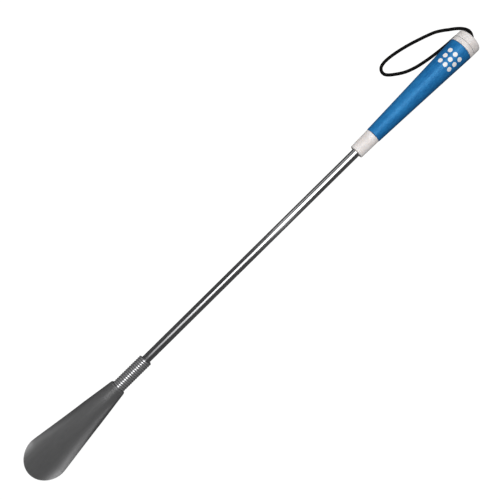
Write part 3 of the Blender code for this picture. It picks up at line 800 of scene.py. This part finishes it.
white = white_plastic("ferrule_plastic", 0.0)
bore = SHAFT_R + GAP
ferrule = lathe("ferrule_moulded", round_corners(
    [(FERRULE_A, bore), (FERRULE_A, FERRULE_R[0]), (FERRULE_B, FERRULE_R[1]), (FERRULE_B, SPIGOT_R),
     (SLEEVE_A + 9.0, SPIGOT_R), (SLEEVE_A + 9.0, bore)],
    [0.35, 1.0, 0.22, 0.2, 0.6, 0.2], 6), 112)
dress(ferrule, white)
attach(ferrule, "handle")
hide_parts("lower_ferrule")

outer = [(lerp(SLEEVE_A, SLEEVE_B, k / 40), sleeve_radius(lerp(SLEEVE_A, SLEEVE_B, k / 40))) for k in range(41)]
bored = [(x, sleeve_radius(x) - SLEEVE_WALL) for x in [lerp(SLEEVE_B, SLEEVE_A, k / 8) for k in range(9)]]
sleeve = lathe("grip_cover", round_corners(outer + bored, [0.45] + [0] * 39 + [0.40] + [0.2] + [0] * 7 + [0.2], 5), 128)
dress(sleeve, grip_blue())
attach(sleeve, "handle")
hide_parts("grip_sleeve")

collar = lathe("collar_moulded", round_corners(
    [(COLLAR_A, CAP_SPIGOT_R + GAP), (COLLAR_A, CAP_R), (COLLAR_B, CAP_R), (COLLAR_B, CAP_SPIGOT_R + GAP)],
    [0.2, 0.3, 0.3, 0.2], 5), 128)
dress(collar, white_plastic("collar_plastic", 0.5))
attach(collar, "handle")
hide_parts("upper_collar")

inside = LENGTH - 2.8
cap = lathe("cap_moulded", round_corners(
    [(588.0, CAVITY_R), (588.0, CAP_SPIGOT_R), (CAP_A, CAP_SPIGOT_R), (CAP_A, CAP_R), (LENGTH, CAP_R), (LENGTH, HOLE_R),
     (inside, HOLE_R), (inside, CAVITY_R)],
    [0.3, 0.5, 0.15, 0.3, CAP_ROUND, 0.5, 0.4, 0.8], 9), 128)
dress(cap, white_plastic("cap_plastic", 1.0))
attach(cap, "handle")
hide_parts("end_cap")

# pieces inside, whose CAD shapes are right as they are
for node, mat, slot in (("shaft_tip_plug", inner_plastic("plug_plastic", (0.03, 0.03, 0.03)), "plug_plastic"),
                        ("handle_core", inner_plastic("core_plastic", (0.6, 0.58, 0.55)), "core_plastic"),
                        ("core_pin", turned_steel("pin_steel", 0.55), "pin_steel")):
    dress(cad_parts[node], mat)


# ============================================================================= floor, light
FLOOR_Z = -0.13


def make_floor():
    """A pale sheet, low enough that the horn stays above it when the neck bends down."""
    bm = bmesh.new()
    bmesh.ops.create_grid(bm, x_segments=1, y_segments=1, size=30.0)
    mesh = bpy.data.meshes.new("floor")
    bm.to_mesh(mesh)
    bm.free()
    ob = bpy.data.objects.new("floor", mesh)
    bpy.context.scene.collection.objects.link(ob)
    n = Nodes("floor_paper")
    p = n.place()
    fleck = n.noise(p, 60.0, 3.0, 0.5)
    diffuse = n.add("ShaderNodeBsdfDiffuse", None, Color=n.mix(fleck, rgb(0.245, 0.245, 0.245), rgb(0.255, 0.255, 0.255)))
    glow = n.add("ShaderNodeEmission", None, Color=rgb(1, 1, 1), Strength=0.86)
    both = n.add("ShaderNodeAddShader", None, i0=diffuse.outputs[0], i1=glow.outputs[0])
    n.tree.links.new(both.outputs[0], n.out.inputs[0])
    ob.data.materials.append(n.mat)
    ob.location.z = FLOOR_Z
    ob.visible_glossy = False
    ob.visible_diffuse = False
    return ob


make_floor()


def softbox(name, at, look, size, radiance, turn=0.0, seen_by=("diffuse", "glossy")):
    """A rectangular area light of a given brightness, square on to the point that it looks at."""
    light = bpy.data.lights.new(name, "AREA")
    light.shape = "RECTANGLE"
    light.size, light.size_y = size
    light.energy = radiance * math.pi * size[0] * size[1]
    ob = bpy.data.objects.new(name, light)
    bpy.context.scene.collection.objects.link(ob)
    ob.location = at
    z = (Vector(at) - Vector(look)).normalized()
    x = Vector((math.cos(math.radians(turn)), math.sin(math.radians(turn)), 0))
    x = (x - x.dot(z) * z).normalized()
    y = z.cross(x)
    ob.rotation_euler = Matrix((x, y, z)).transposed().to_euler()
    ob.visible_camera = False
    ob.visible_diffuse = "diffuse" in seen_by
    ob.visible_glossy = "glossy" in seen_by
    return ob


def only_on(light, *pieces):
    """Lets a light fall on the given pieces only."""
    group = bpy.data.collections.new("lit_by_" + light.name)
    for piece in pieces:
        group.objects.link(piece)
    light.light_linking.receiver_collection = group


# the long box over the grip and the shaft: what shows in their gloss, fading out towards the horn
others = (shaft, ferrule, sleeve, collar, cap, loop, knot, lower_coil, upper_coil, stud)
only_on(softbox("key", (0.50, 0.14, 1.25), (0.50, 0.14, 0.0), (1.16, 0.96), 2.6, 14.0, ("glossy",)), *others)
only_on(softbox("key_skirt", (0.50, 0.14, 1.26), (0.50, 0.14, 0.0), (1.20, 1.42), 0.26, 14.0, ("glossy",)), *others)
# a narrow bar of light across the shaft, from one side to the other: its gloss flares there
only_on(softbox("bar_top", (0.115, 0.0, 1.20), (0.115, 0.0, 0.0), (0.045, 2.6), 0.9, 0.0, ("glossy",)), shaft)
only_on(softbox("bar_left", (0.115, 1.30, 0.55), (0.05, 0.0, 0.01), (0.045, 1.2), 0.6, 0.0, ("glossy",)), shaft)
only_on(softbox("bar_right", (0.115, -1.30, 0.55), (0.05, 0.0, 0.01), (0.045, 1.2), 0.30, 0.0, ("glossy",)), shaft)
# panels well beyond both ends
for name, x in (("end_low", -1.1), ("end_high", 1.1)):
    only_on(softbox(name, (x, 0.0, 1.2), (0.0, 0.0, 0.01), (2.4, 0.8), 0.9, 90.0, ("glossy",)), shaft)
only_on(softbox("key_horn", (0.50, 0.19, 1.25), (0.50, 0.19, 0.0), (1.16, 0.86), 1.0, 20.0, ("glossy",)), horn)
for name, x0, x1, y, radiance in (("key_b", -0.20, -0.08, 0.06, 1.2), ("key_c", -0.30, -0.20, 0.15, 0.72),
                                  ("key_d", -0.44, -0.30, 0.17, 0.36)):
    middle = (x0 + x1) / 2
    only_on(softbox(name, (middle, y, 1.25), (middle, y, 0.0), (x1 - x0, 0.80), radiance, 0.0, ("glossy",)), shaft)
# the same box as the matt surfaces see it, a little to the loop's side
softbox("key_matt", (0.10, 0.32, 1.25), (0.0, 0.0, 0.0), (1.5, 0.70), 3.7, 0.0, ("diffuse",))
only_on(softbox("fill", (0.45, 0.90, 0.33), (0.20, 0.0, 0.01), (0.70, 0.30), 0.55), ferrule, collar, cap, horn, shaft, lower_coil,
        upper_coil, loop)
# what the horn's two flanks show: a panel on each side past the tip, and a low one that reaches its steep right flank
only_on(softbox("side_left", (-0.94, 0.76, -0.01), (-0.28, 0.0, 0.01), (0.44, 0.16), 6.0), horn)
only_on(softbox("side_right", (-0.86, -0.75, 0.07), (-0.28, 0.0, 0.01), (0.44, 0.18), 4.6), horn)
only_on(softbox("side_right_low", (-0.50, -0.82, -0.06), (-0.24, 0.0, 0.01), (0.44, 0.12), 1.8), horn)
only_on(softbox("white_left", (0.22, 0.80, 0.30), (0.22, 0.0, 0.01), (1.0, 0.30), 0.95, 0.0, ("diffuse",)), ferrule, collar, cap)
only_on(softbox("white_right", (0.22, -0.80, 0.30), (0.22, 0.0, 0.01), (1.0, 0.30), 1.95, 0.0, ("diffuse",)), ferrule, collar, cap)
only_on(softbox("white_end", (1.30, 0.30, 0.45), (0.30, 0.0, 0.01), (0.8, 0.4), 0.9, 90.0, ("diffuse",)), cap, knot, loop)
only_on(softbox("strip", (-0.45, 0.10, 1.0), (-0.45, 0.10, 0.0), (3.4, 0.17), 3.9), lower_coil, upper_coil)

world = bpy.data.worlds.new("studio")
bpy.context.scene.world = world
world.use_nodes = True
world.cycles.sampling_method = "NONE"
tree = world.node_tree
tree.nodes.clear()
w_out = tree.nodes.new("ShaderNodeOutputWorld")
w_geo = tree.nodes.new("ShaderNodeTexCoord")
w_sep = tree.nodes.new("ShaderNodeSeparateXYZ")
tree.links.new(w_geo.outputs["Generated"], w_sep.inputs[0])


def ramp(stops):
    node = tree.nodes.new("ShaderNodeMapRange")
    node.inputs["From Min"].default_value, node.inputs["From Max"].default_value = -1.0, 1.0
    tree.links.new(w_sep.outputs[2], node.inputs["Value"])
    r = tree.nodes.new("ShaderNodeValToRGB")
    tree.links.new(node.outputs[0], r.inputs[0])
    el = r.color_ramp.elements
    while len(el) > 1:
        el.remove(el[-1])
    for i, (z, v) in enumerate(stops):
        e = el[0] if i == 0 else el.new((z + 1) / 2)
        e.position = (z + 1) / 2
        e.color = (v, v, v, 1.0)
    bg = tree.nodes.new("ShaderNodeBackground")
    tree.links.new(r.outputs[0], bg.inputs["Color"])
    return bg.outputs[0]


w_path = tree.nodes.new("ShaderNodeLightPath")
diffuse_sky = ramp([(-1.0, 0.02), (-0.05, 0.035), (0.10, 0.09), (0.5, 0.32), (1.0, 0.48)])
glossy_sky = ramp([(-1.0, 0.06), (-0.10, 0.07), (0.12, 0.08), (0.4, 0.055), (1.0, 0.07)])
seen_sky = ramp([(-1.0, 0.98), (1.0, 1.0)])
mix_a = tree.nodes.new("ShaderNodeMixShader")
mix_b = tree.nodes.new("ShaderNodeMixShader")
tree.links.new(w_path.outputs["Is Glossy Ray"], mix_a.inputs[0])
tree.links.new(diffuse_sky, mix_a.inputs[1])
tree.links.new(glossy_sky, mix_a.inputs[2])
tree.links.new(w_path.outputs["Is Camera Ray"], mix_b.inputs[0])
tree.links.new(mix_a.outputs[0], mix_b.inputs[1])
tree.links.new(seen_sky, mix_b.inputs[2])
tree.links.new(mix_b.outputs[0], w_out.inputs[0])

view = bpy.context.scene.view_settings
view.view_transform = "Standard"
view.look = "None"
view.exposure = 0.0
view.gamma = 1.0
